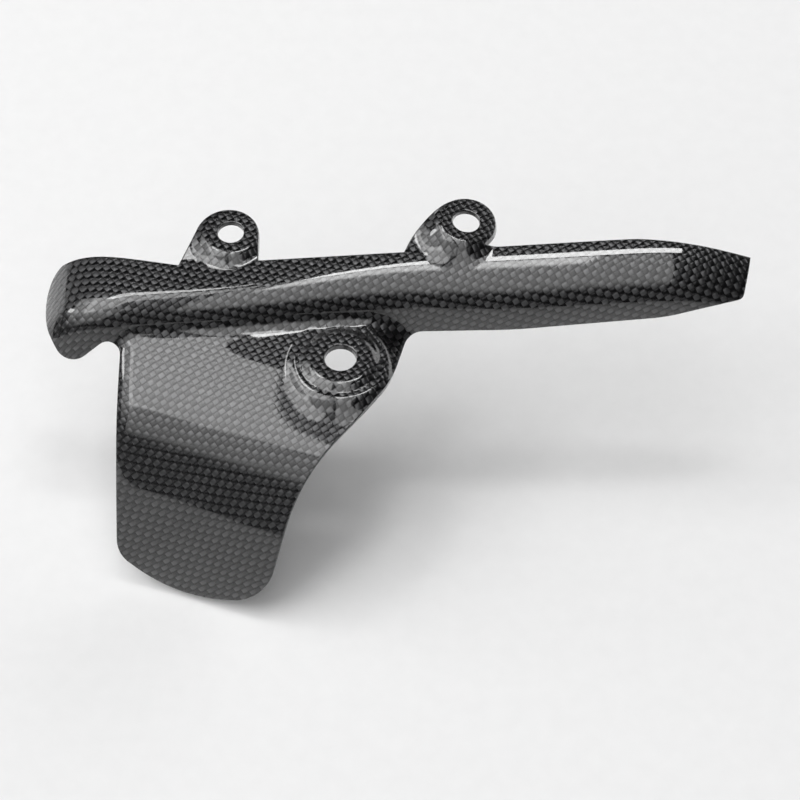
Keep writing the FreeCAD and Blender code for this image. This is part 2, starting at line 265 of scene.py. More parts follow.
def profile(x):
    """Points of the outer skin across the arm at x, from the flange's back edge to the foot of the skirt.

    Each stretch is (points, length, tilt at its end): the tilt below level changes evenly along it.
    """
    rise = flange_rise(x)
    lean = math.radians(between(x, "flank_lean_toe", "flank_lean_tip", "lean_from", "lean_to"))
    roll = between(x, "roll_radius_toe", "roll_radius_tip", "roll_grow_from", "roll_grow_to")
    width = between(x, "strip_width_toe", "strip_width_tip", "strip_narrow_from", "strip_narrow_to")
    shelf = size("shelf_length") + x * math.tan(angle("bend_turn"))
    bend_start = angle("bend_start_tilt")
    bend_end = angle("bend_end_tilt")
    skirt_end = angle("skirt_end_tilt")
    shelf_start = bend_start - shelf / size("shelf_radius")
    crease = size("flange_crease_length")
    stretches = (
        (2, size("flange_length"), rise),
        (2, crease, 0.0),
        (2, width, 0.0),
        (5, roll * lean, lean),
        (2, flank_length(x), lean),
        (3, size("valley_radius") * (lean - shelf_start), shelf_start),
        (3, shelf, bend_start),
        (3, size("bend_radius") * (bend_end - bend_start), bend_end),
        (3, size("skirt_radius") * (skirt_end - bend_end), skirt_end),
    )
    y = back_edge(x) + size("flange_length") * math.cos(rise) + crease * math.cos(rise / 2.0)
    z = strip_level(x) + size("flange_length") * math.sin(rise) + crease * math.sin(rise / 2.0)
    tilt = rise
    points = [(x, y, z)]
    for count, length, end_tilt in stretches:
        turn = (end_tilt - tilt) / count
        for _ in range(count):
            middle = tilt + turn / 2.0
            y -= math.cos(middle) * length / count
            z -= math.sin(middle) * length / count
            tilt += turn
            points.append((x, y, z))
    return points


def stations():
    """Places along X of the skin's cross sections: closer where the toe curls and the plate's edges roll.

    Each stretch is (start, end, cross sections in it).
    """
    toe = size("skin_toe_end")
    plate = size("plate_profile_from")
    notch = size("notch_roll")
    notch_end = notch + size("notch_roll_length")
    tip = size("skin_tip_end")
    stretches = ((toe, plate, 7), (plate, notch, 7), (notch, notch_end, 4), (notch_end, tip, 7))
    places = [toe]
    for start, end, count in stretches:
        places += [start + (end - start) * step / count for step in range(1, count + 1)]
    return places


NET = np.array([profile(x) for x in stations()])
DEGREE = 3
# Small step in spline places and chart columns
NUDGE = 1e-3


def basis(count, at):
    """First control point that acts at each place on a clamped cubic spline, and the weights of the four."""
    spans = count - DEGREE
    knots = np.concatenate([np.zeros(DEGREE), np.arange(spans + 1), np.full(DEGREE, spans)])
    first = np.clip(np.floor(at).astype(int), 0, spans - 1)
    here = first + DEGREE
    weights = np.zeros((len(at), DEGREE + 1))
    weights[:, 0] = 1.0
    for order in range(1, DEGREE + 1):
        carried = np.zeros(len(at))
        for k in range(order):
            right = knots[here + k + 1] - at
            left = at - knots[here + 1 - order + k]
            share = weights[:, k] / (right + left)
            weights[:, k] = carried + right * share
            carried = left * share
        weights[:, order] = carried
    return first, weights


def skin(u, v):
    """Points of the smooth outer skin at spline places u along X and v across the arm."""
    row, along = basis(NET.shape[0], u)
    column, across = basis(NET.shape[1], v)
    four = np.arange(DEGREE + 1)
    block = NET[(row[:, None] + four)[:, :, None], (column[:, None] + four)[:, None, :]]
    return np.einsum("na,nb,nabc->nc", along, across, block)


# A chart of the skin: columns along X, each with its path length measured from the strip's back edge.
# A place on the chart is (x, path), close to true lengths on the skin in both directions.
CHART_STEP = 0.5
BACK_EDGE_V = 3.0
ALONG_SAMPLES = 4001
ACROSS_SAMPLES = 1201
chart_x = np.arange(size("skin_toe_end"), size("skin_tip_end") + CHART_STEP / 2.0, CHART_STEP)
u_samples = np.linspace(0.0, NET.shape[0] - DEGREE, ALONG_SAMPLES)
x_samples = skin(u_samples, np.zeros_like(u_samples))[:, 0]
v_samples = np.linspace(0.0, NET.shape[1] - DEGREE, ACROSS_SAMPLES)


def u_at(x):
    return np.interp(x, x_samples, u_samples)


def chart_column(x):
    points = skin(np.full_like(v_samples, u_at(x)), v_samples)
    steps = np.linalg.norm(np.diff(points[:, 1:], axis=0), axis=1)
    path = np.concatenate([[0.0], np.cumsum(steps)])
    path -= np.interp(BACK_EDGE_V, v_samples, path)
    return np.column_stack([path, points[:, 1:]])


chart = np.array([chart_column(x) for x in chart_x])
FACE_UP = np.array([math.cos(angle("face_tilt")), math.sin(angle("face_tilt"))])


def read_chart(x, known, given, wanted):
    """Reads one quantity off the chart from another: both are tables with a row for each column of the chart.

    known must rise along every column.
    """
    place = np.clip((x - chart_x[0]) / CHART_STEP, 0.0, len(chart_x) - 1 - NUDGE)
    column = place.astype(int)
    part = place - column
    found = np.zeros((2, len(x)))
    for c in np.unique(column):
        pick = column == c
        for side in (0, 1):
            found[side, pick] = np.interp(given[pick], known[c + side], wanted[c + side])
    return found[0] * (1.0 - part) + found[1] * part


PATHS = chart[:, :, 0]
V_TABLE = np.broadcast_to(v_samples, PATHS.shape)


def chart_places(points, heights):
    """Chart places of points (x, height): heights is the chart's table of that height, which falls."""
    x, height = points.T
    return np.column_stack([x, read_chart(x, -heights, -height, PATHS)])


def path_at_y(points):
    """Chart places of points (x, y) in plan."""
    return chart_places(points, chart[:, :, 1])


def path_at_face(points):
    """Chart places of points (x, height) on the tilted face plane."""
    return chart_places(points, chart[:, :, 1:] @ FACE_UP)


def smooth_max(a, b, blend):
    near = np.maximum(blend - np.abs(a - b), 0.0)
    return np.maximum(a, b) + near * near / (4.0 * blend)


def smooth_min(a, b, blend):
    return -smooth_max(-a, -b, blend)


def frustum(xy, centre, top, radius, depth, tilt=0.0):
    """Height of a seat with sloping sides over points in plan, far below the shell where it doesn't reach."""
    lean = math.tan(angle("step_lean"))
    away = xy - np.array(centre)
    flat = top - away[:, 0] * math.tan(tilt)
    reach = np.hypot(away[:, 0] / math.cos(tilt), away[:, 1])
    height = smooth_min(flat, flat + (radius - reach) / lean, SEAT_EDGE_BLEND)
    return np.where(reach < radius + depth * lean, height, -size("outline_reach"))


PLATE = (0.0, 0.0)
FRONT = (size("front_hole_x"), size("front_hole_y"))
REAR = (size("rear_hole_x"), size("rear_hole_y"))


def seat_tops(xy):
    """Height of the seats' outer faces over points in plan."""
    step = size("plate_seat_step")
    depth = size("tab_seat_depth")
    radius = size("tab_seat_radius")
    seat = frustum(xy, PLATE, 0.0, size("plate_seat_radius"), step + size("wall") / 2.0)
    terrace = frustum(xy, PLATE, -step, size("terrace_radius"), size("terrace_depth"))
    front = frustum(xy, FRONT, size("front_seat_height"), radius, depth)
    rear = frustum(xy, REAR, size("rear_seat_height"), radius, depth, angle("rear_seat_tilt"))
    return np.maximum(smooth_max(seat, terrace, SEAT_FOOT_BLEND), np.maximum(front, rear))


def seat_hollows(xy):
    """Height of the hollows behind the seats over points in plan."""
    lean = angle("step_lean")
    side = size("wall") / math.cos(lean)
    thick = size("tab_seat_thickness")
    depth = size("tab_seat_depth")
    terrace_radius = size("terrace_radius") + size("wall") * math.tan(lean) - side
    tab_radius = size("tab_seat_radius") + thick * math.tan(lean) - side
    tilt = angle("rear_seat_tilt")
    plate_top = -size("plate_seat_step") - size("wall")
    rear_top = size("rear_seat_height") - thick * math.cos(tilt)
    rear_centre = (REAR[0] - thick * math.sin(tilt), REAR[1])
    plate = frustum(xy, PLATE, plate_top, terrace_radius, size("terrace_depth"))
    front = frustum(xy, FRONT, size("front_seat_height") - thick, tab_radius, depth)
    rear = frustum(xy, rear_centre, rear_top, tab_radius, depth, tilt)
    return np.maximum(plate, np.maximum(front, rear))


def crossed(forward, back, right, left):
    """Unit normals, out of the cover, from points a nudge either way along both directions of the skin."""
    normal = np.cross(right - left, forward - back)
    return normal / np.linalg.norm(normal, axis=1, keepdims=True)


def around(place, u, v):
    """A surface function's points a nudge forward, back, right and left of u, v."""
    return place(u + NUDGE, v), place(u - NUDGE, v), place(u, v + NUDGE), place(u, v - NUDGE)


def outer_point(u, v):
    points = skin(u, v)
    points[:, 2] = smooth_max(points[:, 2], seat_tops(points[:, :2]), SEAT_FOOT_BLEND)
    return points


def inner_point(u, v):
    base = skin(u, v)
    facing = crossed(*around(skin, u, v))
    on_flange = np.clip(BACK_EDGE_V - v, 0.0, 1.0)[:, None]
    facing += (np.array([0.0, 0.0, 1.0]) - facing) * on_flange
    points = base - facing * size("wall")
    hollow = seat_hollows(base[:, :2])
    behind_seat = np.clip((hollow - points[:, 2]) / SEAT_FOOT_BLEND, 0.0, 1.0)[:, None]
    points[:, :2] += (base[:, :2] - points[:, :2]) * behind_seat
    points[:, 2] = smooth_max(points[:, 2], hollow, SEAT_FOOT_BLEND)
    return points


def inset(places):
    """Spline places u and v of places on the chart, a little inside the skin's ends for a nudge."""
    x = places[:, 0]
    v = read_chart(x, PATHS, places[:, 1], V_TABLE)
    u = np.clip(u_at(x), 2 * NUDGE, NET.shape[0] - DEGREE - 2 * NUDGE)
    return u, np.clip(v, 2 * NUDGE, NET.shape[1] - DEGREE - 2 * NUDGE)


def tangent_point(start, centre, radius, side):
    """Where a line from start touches a circle, on the circle's left (side 1) or right (side -1)."""
    reach = centre - start
    length = math.hypot(*reach)
    heading = math.atan2(reach[1], reach[0]) + math.asin(radius / length) * side
    return start + np.array([math.cos(heading), math.sin(heading)]) * math.sqrt(length**2 - radius**2)


def arc(start, stop, centre, clockwise):
    """Points of an arc from start to stop."""
    first, last = (math.atan2(p[1] - centre[1], p[0] - centre[0]) for p in (start, stop))
    turn = (first - last) % (2.0 * math.pi) if clockwise else (last - first) % (2.0 * math.pi)
    radius = math.hypot(*(start - centre))
    count = max(int(turn * radius / EDGE_SPACING), ARC_STEPS)
    sweep = first + np.linspace(0.0, -turn if clockwise else turn, count + 1)
    return centre + radius * np.column_stack([np.cos(sweep), np.sin(sweep)])


def corner_points(corner, before, after):
    """Points of one corner of an outline: a sharp point, a rounding or a round tab end."""
    kind, here = corner[0], np.array(corner[1:3])
    if kind == "sharp":
        return here[None, :]
    radius = corner[3]
    if kind == "end":
        start = tangent_point(before, here, radius, 1)
        stop = tangent_point(after, here, radius, -1)
        return arc(start, stop, here, True)
    back = (before - here) / math.hypot(*(before - here))
    on = (after - here) / math.hypot(*(after - here))
    half = math.acos(float(np.clip(back @ on, -1.0, 1.0))) / 2.0
    run = radius / math.tan(half)
    middle = (back + on) / math.hypot(*(back + on))
    clockwise = back[0] * on[1] - back[1] * on[0] > 0
    return arc(here + back * run, here + on * run, here + middle * radius / math.sin(half), clockwise)


def aim(start, corner, side):
    """Where a straight from start to a corner heads: for the corner, or for the side of a round end."""
    place = np.array(corner[1:3], dtype=float)
    return tangent_point(start, place, corner[3], side) if corner[0] == "end" else place


def chain(corners):
    """Points along an open outline through corners (kind, x, y, radius), closely spaced on its straights."""
    runs = [corner_points(corners[0], None, None)]
    for before, corner, after in zip(corners, corners[1:], corners[2:]):
        here = np.array(corner[1:3], dtype=float)
        runs.append(corner_points(corner, aim(here, before, -1), aim(here, after, 1)))
    runs.append(corner_points(corners[-1], None, None))
    points = [runs[0][0]]
    for k, run in enumerate(runs):
        gap = run[0] - points[-1]
        count = int(math.hypot(*gap) / EDGE_SPACING)
        points += [points[-1] + gap * step / (count + 1) for step in range(1, count + 1)]
        points += list(run if k else run[1:])
    return np.array(points)


def sharp(x, y):
    return "sharp", x, y


def rounding(name):
    """A rounded corner of an outline, whose place and radius are named after it."""
    return "round", size(f"{name}_x"), size(name), size(f"{name}_radius")


def root(name):
    """The corner where a tab leaves the strip's back edge."""
    return sharp(size(name), back_edge(size(name)))


def plan_chain():
    """The back edge with its two tabs, from toe to tip, in plan."""
    reach = size("outline_reach")
    front_root = size("front_tab_root_toe")
    flare = (reach + front_root) * math.tan(angle("toe_flare_angle"))
    return chain(
        [
            sharp(-reach, back_edge(front_root) + flare),
            root("front_tab_root_toe"),
            ("end", size("front_tab_end_x"), size("front_tab_end_y"), size("front_tab_end_radius")),
            root("front_tab_root_tip"),
            root("rear_tab_root_toe"),
            rounding("rear_tab_side"),
            ("end", *REAR, size("rear_tab_end_radius")),
            root("rear_tab_root_tip"),
            ("round", size("tip_back_x"), back_edge(size("tip_back_x")), size("tip_back_radius")),
            sharp(reach, size("tip_end_y")),
        ]
    )


def face_chain():
    """The tip's end, the lower edges and the toe's end, from tip to toe, on the face plane."""
    return chain(
        [
            sharp(size("tip_end_x"), size("outline_reach")),
            sharp(size("tip_end_x"), size("tip_end")),
            rounding("tip_low"),
            rounding("taper"),
            rounding("flank_edge"),
            rounding("rear_notch"),
            rounding("boss_corner"),
            rounding("waist"),
            rounding("plate_low_rear"),
            rounding("plate_foot"),
            rounding("plate_low_front"),
            ("round", size("plate_front_x"), size("plate_front_top"), size("plate_front_notch_radius")),
            rounding("toe_low"),
            rounding("toe_end"),
            rounding("toe_top"),
            sharp(size("plate_front_x"), size("toe_top")),
        ]
    )


def crossings(a, b):
    """Places where two chains cross: (segment of a, segment of b, point)."""
    found = []
    for i in range(len(a) - 1):
        run = a[i + 1] - a[i]
        other = b[1:] - b[:-1]
        gap = b[:-1] - a[i]
        cross = run[0] * other[:, 1] - run[1] * other[:, 0]
        slanted = np.nonzero(cross)[0]
        along = (gap[:, 0] * other[:, 1] - gap[:, 1] * other[:, 0])[slanted] / cross[slanted]
        beside = (gap[:, 0] * run[1] - gap[:, 1] * run[0])[slanted] / cross[slanted]
        meet = (along >= 0) & (along < 1) & (beside >= 0) & (beside < 1)
        found += [(i, int(j), a[i] + run * part) for j, part in zip(slanted[meet], along[meet])]
    return found


def spaced(loop):
    """Drops points of a closed loop that crowd their neighbours."""
    kept = [loop[0]]
    for point in loop[1:]:
        if math.hypot(*(point - kept[-1])) > EDGE_SPACING / 2.0:
            kept.append(point)
    if math.hypot(*(kept[0] - kept[-1])) < EDGE_SPACING / 2.0:
        kept.pop()
    return np.array(kept)


def shell_loop():
    """The trimmed edge of the shell on the chart, with the laminate on its left as seen from outside."""
    back = path_at_y(plan_chain())
    front = path_at_face(face_chain())
    ends = sorted(crossings(back, front), key=lambda hit: hit[0])
    toe, tip = ends[0], ends[-1]
    loop = [toe[2], *back[toe[0] + 1 : tip[0] + 1], tip[2], *front[tip[1] + 1 : toe[1] + 1]]
    return spaced(np.array(loop)[::-1])


def hole_loop(centre, diameter, tilt=0.0):
    """The edge of a bolt hole on the chart, with the laminate on its left as seen from outside."""
    turn = np.linspace(0.0, -2.0 * math.pi, int(math.pi * diameter / SEAT_SPACING) + 1)[:-1]
    radius = diameter / 2.0
    ring = np.array(centre) + radius * np.column_stack([np.cos(turn) * math.cos(tilt), np.sin(turn)])
    return path_at_y(ring)


class Edge:
    """A closed edge of the laminate: its frame at every point, and where its rounding starts on the chart."""

    def __init__(self, loop):
        u, v = inset(loop)
        self.outer = outer_point(u, v)
        self.inner = inner_point(u, v)
        self.normal = crossed(*around(outer_point, u, v))
        run = np.roll(self.outer, -1, axis=0) - np.roll(self.outer, 1, axis=0)
        run /= np.linalg.norm(run, axis=1, keepdims=True)
        inward = np.cross(self.normal, run)
        self.inward = inward / np.linalg.norm(inward, axis=1, keepdims=True)
        self.loop = loop
        self.chart_inward = self.on_chart(u, v)
        self.start = loop + self.chart_inward * RIM_ROUND

    def on_chart(self, u, v):
        """The inward direction as a step on the chart."""
        forward, back, right, left = around(skin, u, v)
        along = (forward - back) / (forward - back)[:, :1]
        across = right - left
        across /= np.linalg.norm(across, axis=1, keepdims=True)
        rest = self.inward - along * self.inward[:, :1]
        path = np.einsum("nc,nc->n", rest, across)
        return np.column_stack([self.inward[:, 0], path])

    def rings(self):
        """Rings over the rounded rim, from the outer face to the inner: (points, normals, chart places)."""
        made = []
        for round_angle in RIM_TURNS:
            turn = math.radians(round_angle)
            step = self.inward * (1 - math.sin(turn)) - self.normal * (1 - math.cos(turn))
            facing = self.normal * math.cos(turn) - self.inward * math.sin(turn)
            place = self.start - self.chart_inward * RIM_ROUND * turn
            made.append((self.outer + step * RIM_ROUND, facing, place))
        for round_angle in RIM_INNER_TURNS:
            turn = math.radians(round_angle)
            step = self.inward * (1 - math.sin(turn)) + self.normal * (1 - math.cos(turn))
            facing = -self.normal * math.cos(turn) - self.inward * math.sin(turn)
            run = size("wall") + RIM_INNER_ROUND * (math.pi / 2.0 - turn)
            place = self.start - self.chart_inward * run
            made.append((self.inner + step * RIM_INNER_ROUND, facing, place))
        return made


def inside(loop, places):
    """True for places inside a closed loop."""
    hits = np.zeros(len(places), dtype=bool)
    for a, b in zip(loop, np.roll(loop, -1, axis=0)):
        crosses = (a[1] > places[:, 1]) != (b[1] > places[:, 1])
        if a[1] != b[1]:
            hits ^= crosses & (places[:, 0] < a[0] + (places[:, 1] - a[1]) * (b[0] - a[0]) / (b[1] - a[1]))
    return hits


def lattice(low, high, spacing):
    """Evenly spread places over a box of the chart, in staggered rows."""
    rows = np.arange(low[1], high[1], spacing * math.sqrt(3.0) / 2.0)
    places = []
    for k, path in enumerate(rows):
        across = np.arange(low[0] + spacing / 2.0 * (k % 2), high[0], spacing)
        places.append(np.column_stack([across, np.full_like(across, path)]))
    return np.vstack(places)


def clear_of(places, loops, gap):
    """Places at least a gap away from every point of the loops."""
    points = np.vstack(loops)
    tree = KDTree(len(points))
    for i, point in enumerate(points):
        tree.insert((*point, 0.0), i)
    tree.balance()
    far = np.array([tree.find((*place, 0.0))[2] > gap for place in places], dtype=bool)
    return places[far]


def seat_zones():
    """Chart centre and reach of the finely meshed zone round each seat."""
    centres = path_at_y(np.array([PLATE, FRONT, REAR]))
    plate_reach = size("terrace_radius") + SEAT_MESH_MARGIN
    tab_reach = size("tab_seat_radius") + SEAT_MESH_MARGIN
    return list(zip(centres, (plate_reach, tab_reach, tab_reach)))


def mesh_places(edge_loops):
    """Places of the mesh points inside the edges: closer together round the seats."""
    shell, *holes = edge_loops
    coarse = lattice(shell.min(0), shell.max(0), SHELL_SPACING)
    fine = []
    for centre, reach in seat_zones():
        coarse = coarse[np.linalg.norm(coarse - centre, axis=1) > reach]
        patch = lattice(centre - reach, centre + reach, SEAT_SPACING)
        fine.append(patch[np.linalg.norm(patch - centre, axis=1) < reach])
    places = []
    for group, spacing in ((coarse, SHELL_SPACING), (np.vstack(fine), SEAT_SPACING)):
        group = group[inside(shell, group)]
        for hole in holes:
            group = group[~inside(hole, group)]
        places.append(clear_of(group, edge_loops, spacing * EDGE_CLEARANCE))
    return np.vstack(places)


# Delaunay settings: triangles over the whole hull, and the distance at which points merge
WHOLE_HULL = 0
MERGE_DISTANCE = 1e-5


def triangles(edge_loops, inner_places):
    """Triangles over the chart between the edges: indices into the loops' points, then the inner places."""
    points = np.vstack([*edge_loops, inner_places])
    edges = []
    start = 0
    for loop in edge_loops:
        count = len(loop)
        edges += [(start + i, start + (i + 1) % count) for i in range(count)]
        start += count
    made = delaunay_2d_cdt([Vector(p) for p in points], edges, [], WHOLE_HULL, MERGE_DISTANCE, True)
    source = [ids[0] for ids in made[3]]
    faces = np.array([[source[i] for i in face] for face in made[2]])
    middles = points[faces].mean(axis=1)
    keep = inside(edge_loops[0], middles)
    for hole in edge_loops[1:]:
        keep &= ~inside(hole, middles)
    faces = faces[keep]
    a, b, c = (points[faces[:, k]] for k in range(3))
    turn = (b - a)[:, 0] * (c - a)[:, 1] - (b - a)[:, 1] * (c - a)[:, 0]
    faces[turn > 0] = faces[turn > 0][:, ::-1]
    return points, faces


def make_object(name, points, normals, weave, outer_faces, inner_faces):
    """An object from points in millimetres, kept in the solid's box, with its normals and weave UVs."""
    mesh = bpy.data.meshes.new(name)
    mesh.from_pydata(np.clip(points * MM, *cad_box).tolist(), [], outer_faces + inner_faces)
    mesh.polygons.foreach_set("use_smooth", [True] * len(mesh.polygons))
    mesh.polygons.foreach_set("material_index", [0] * len(outer_faces) + [1] * len(inner_faces))
    corner_vertex = np.zeros(len(mesh.loops), dtype=int)
    mesh.loops.foreach_get("vertex_index", corner_vertex)
    places = weave * MM * (1.0, -1.0)
    mesh.uv_layers.new(name="weave").data.foreach_set("uv", places[corner_vertex].ravel())
    mesh.normals_split_custom_set_from_vertices(normals.tolist())
    made = bpy.data.objects.new(name, mesh)
    bpy.context.scene.collection.objects.link(made)
    return made


def build_cover():
    """The cover: outer and inner skins, with rounded rims round its edge and its holes."""
    loops = [
        shell_loop(),
        hole_loop(PLATE, size("plate_hole_diameter")),
        hole_loop(FRONT, size("front_hole_diameter")),
        hole_loop(REAR, size("rear_hole_diameter"), angle("rear_seat_tilt")),
    ]
    edges = [Edge(loop) for loop in loops]
    starts = [edge.start for edge in edges]
    chart_points, faces = triangles(starts, mesh_places(starts))
    u, v = inset(chart_points)
    count = len(chart_points)
    points = [outer_point(u, v), inner_point(u, v)]
    normals = [crossed(*around(outer_point, u, v)), -crossed(*around(inner_point, u, v))]
    weave = [chart_points, chart_points]
    outer_faces = [tuple(face) for face in faces]
    inner_faces = [tuple(face[::-1] + count) for face in faces]
    first = 0
    total = 2 * count
    for edge in edges:
        number = len(edge.loop)
        rows = [np.arange(first, first + number)]
        for ring_points, ring_normals, ring_chart in edge.rings():
            points.append(ring_points)
            normals.append(ring_normals)
            weave.append(ring_chart)
            rows.append(np.arange(total, total + number))
            total += number
        rows.append(np.arange(first, first + number) + count)
        for near, far in zip(rows, rows[1:]):
            quads = np.column_stack([near, far, np.roll(far, -1), np.roll(near, -1)])
            outer_faces += [tuple(quad) for quad in quads]
        first += number
    return make_object(
        "cover", np.vstack(points), np.vstack(normals), np.vstack(weave), outer_faces, inner_faces
    )


# Weave: plain, two millimetre tows, one set rising to the right across the plate
TOW = 0.002
WEAVE_ANGLE = math.radians(30)
# How far the weave wanders, in tows, and the scale of that wandering
DRIFT_REACH = 0.9
DRIFT_SCALE = 0.07
# Roundness of a tow across and along: the power of a cosine
CROWN_POWER = 0.5
LIFT_POWER = 0.6
# Relief of the tows, and the trace of it on the clear coat: strength and depth
TOW_RELIEF = (0.9, 0.00022)
COAT_RELIEF = (0.05, 0.00002)
# The warp's value, then the weft's: one dark fibre, with the warp painted lighter as a painted sheen for the
# light its fibres catch
TOW_TONES_AND_PAINTED_SHEEN = (0.082, 0.034)
TOW_ROUGHNESS = (0.36, 0.22)
# Painted shade on the tows, put into their colour: how light their ends are, where their sides turn dark and
# light, and the darkest, so that each tow is lightest along its crown and shaded in the gaps between tows
ROPE_END_LIGHT = 0.6
ROPE_DARK_AT = 0.1
ROPE_LIGHT_AT = 0.75
ROPE_DARKEST = 0.1
# Least and most that one tow differs in tone
TOW_ODDS = (0.85, 1.1)
BLUE_TINT = 1.02
FIBRE_SHEEN = 0.85
COAT_IOR = 1.58


class Nodes:
    """Adds nodes to a material or a light and joins them."""

    def __init__(self, owner, shader):
        owner.use_nodes = True
        self.tree = owner.node_tree
        self.shader = self.tree.nodes[shader]

    def add(self, kind, inputs=(), **settings):
        node = self.tree.nodes.new(kind)
        for key, value in settings.items():
            setattr(node, key, value)
        for key, value in dict(inputs).items():
            self.put(value, node.inputs[key])
        return node

    def put(self, value, socket):
        if isinstance(value, bpy.types.NodeSocket):
            self.tree.links.new(value, socket)
        else:
            socket.default_value = value

    def math(self, operation, a, b=0.0):
        return self.add("ShaderNodeMath", {0: a, 1: b}, operation=operation).outputs[0]

    def blend(self, part, a, b):
        """a where part is 0 and b where it is 1."""
        return self.add("ShaderNodeMix", {0: part, 2: a, 3: b}, data_type="FLOAT").outputs[0]

    def arch(self, part, power):
        """1 in the middle of a tow, where part is 0, and 0 at its sides, where part is a half."""
        return self.math("POWER", self.math("COSINE", self.math("MULTIPLY", part, math.pi)), power)

    def vector(self, operation, inputs):
        return self.add("ShaderNodeVectorMath", inputs, operation=operation).outputs[0]

    def colour(self, red, green, blue):
        return self.add("ShaderNodeCombineColor", {0: red, 1: green, 2: blue}).outputs[0]

    def bump(self, height, relief):
        strength, depth = relief
        inputs = {"Height": height, "Strength": strength, "Distance": depth}
        return self.add("ShaderNodeBump", inputs).outputs[0]

    def set(self, **inputs):
        for key, value in inputs.items():
            self.put(value, self.shader.inputs[key.replace("_", " ")])


def weave_signals(nodes):
    """The plain weave over the UVs: which tow set is on top, and the place along and across that tow."""
    uv = nodes.add("ShaderNodeUVMap", uv_map="weave").outputs[0]
    turned = nodes.add(
        "ShaderNodeMapping",
        {"Vector": uv, "Rotation": (0.0, 0.0, -WEAVE_ANGLE), "Scale": (1.0 / TOW, 1.0 / TOW, 1.0)},
    ).outputs[0]
    noise = nodes.add("ShaderNodeTexNoise", {"Vector": turned, "Scale": DRIFT_SCALE, "Detail": 1.0})
    centred = nodes.vector("SUBTRACT", {0: noise.outputs["Color"], 1: (0.5, 0.5, 0.5)})
    shift = nodes.vector("SCALE", {0: centred, "Scale": DRIFT_REACH})
    place = nodes.vector("ADD", {0: turned, 1: shift})
    split = nodes.add("ShaderNodeSeparateXYZ", {0: place}).outputs
    cell_p = nodes.math("FLOOR", split[0])
    cell_q = nodes.math("FLOOR", split[1])
    part_p = nodes.math("SUBTRACT", nodes.math("FRACT", split[0]), 0.5)
    part_q = nodes.math("SUBTRACT", nodes.math("FRACT", split[1]), 0.5)
    weft = nodes.math("FLOORED_MODULO", nodes.math("ADD", cell_p, cell_q), 2.0)
    along = nodes.blend(weft, part_p, part_q)
    across = nodes.blend(weft, part_q, part_p)
    tow = nodes.blend(weft, cell_q, cell_p)
    return weft, along, across, tow


def laminate(name, coat_weight, coat_roughness):
    """Carbon tows under a clear coat: each tow shines across its fibres and dips under its neighbours. Their
    colour holds painted shade, darker at each tow's sides and ends, and a painted sheen that makes the warp
    lighter than the weft.
    """
    material = bpy.data.materials.new(name)
    nodes = Nodes(material, "Principled BSDF")
    weft, along, across, tow = weave_signals(nodes)
    height = nodes.math("MULTIPLY", nodes.arch(along, LIFT_POWER), nodes.arch(across, CROWN_POWER))
    rope_side = nodes.arch(nodes.blend(weft, across, along), CROWN_POWER)
    rope_end = nodes.arch(nodes.blend(weft, along, across), CROWN_POWER)
    rope = nodes.math("MULTIPLY", rope_side, nodes.blend(rope_end, ROPE_END_LIGHT, 1.0))
    # Painted shade: the colour darkens towards each tow's sides and ends, standing in for the shade in the
    # gaps between tows
    painted_shade = nodes.add(
        "ShaderNodeMapRange",
        {"Value": rope, "From Min": ROPE_DARK_AT, "From Max": ROPE_LIGHT_AT, "To Min": ROPE_DARKEST},
    ).outputs[0]
    seed = nodes.add("ShaderNodeCombineXYZ", {0: tow, 1: weft}).outputs[0]
    odd = nodes.add("ShaderNodeTexWhiteNoise", {"Vector": seed}, noise_dimensions="2D").outputs["Value"]
    tone_with_painted_light = nodes.math("MULTIPLY", painted_shade, nodes.blend(odd, *TOW_ODDS))
    # Painted sheen: the warp is coloured lighter than the weft, for the reflection its fibres catch across
    # them
    tone_with_painted_light = nodes.math("MULTIPLY", tone_with_painted_light, nodes.blend(weft, *TOW_TONES_AND_PAINTED_SHEEN))
    tangent = nodes.add("ShaderNodeTangent", direction_type="UV_MAP", uv_map="weave").outputs[0]
    across_warp = (WEAVE_ANGLE + math.pi / 2.0) / (2.0 * math.pi)
    across_weft = WEAVE_ANGLE / (2.0 * math.pi)
    nodes.set(
        Base_Color=nodes.colour(tone_with_painted_light, tone_with_painted_light, nodes.math("MULTIPLY", tone_with_painted_light, BLUE_TINT)),
        Metallic=1.0,
        Roughness=nodes.blend(weft, *TOW_ROUGHNESS),
        Anisotropic=FIBRE_SHEEN,
        Anisotropic_Rotation=nodes.blend(weft, across_warp, across_weft),
        Tangent=tangent,
        Normal=nodes.bump(height, TOW_RELIEF),
        Coat_Weight=coat_weight,
        Coat_Roughness=coat_roughness,
        Coat_IOR=COAT_IOR,
        Coat_Normal=nodes.bump(height, COAT_RELIEF),
    )
    return material


cover = build_cover()
cover.data.materials.append(laminate("clear_coated_weave", 1.0, 0.025))
cover.data.materials.append(laminate("moulded_inside", 0.35, 0.3))
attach(cover, "root")
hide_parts("cover_shell")

# Floor: pale paper, just under the cover
FLOOR_REACH = 6.0
FLOOR_GAP = 0.0005
PAPER_TONES = (0.69, 0.73)
PAPER_GRAIN_SCALE = 900.0
bpy.ops.mesh.primitive_plane_add(size=FLOOR_REACH, location=(0.0, 0.0, cad_box[0][2] - FLOOR_GAP))
floor = bpy.context.object
floor.name = "floor"
paper_material = bpy.data.materials.new("pale_floor")
paper = Nodes(paper_material, "Principled BSDF")
grain = paper.add("ShaderNodeTexNoise", {"Scale": PAPER_GRAIN_SCALE, "Detail": 2.0}).outputs["Fac"]
paper_tone = paper.blend(grain, *PAPER_TONES)
paper.set(Base_Color=paper.colour(paper_tone, paper_tone, paper_tone), Roughness=0.9)
floor.data.materials.append(paper_material)

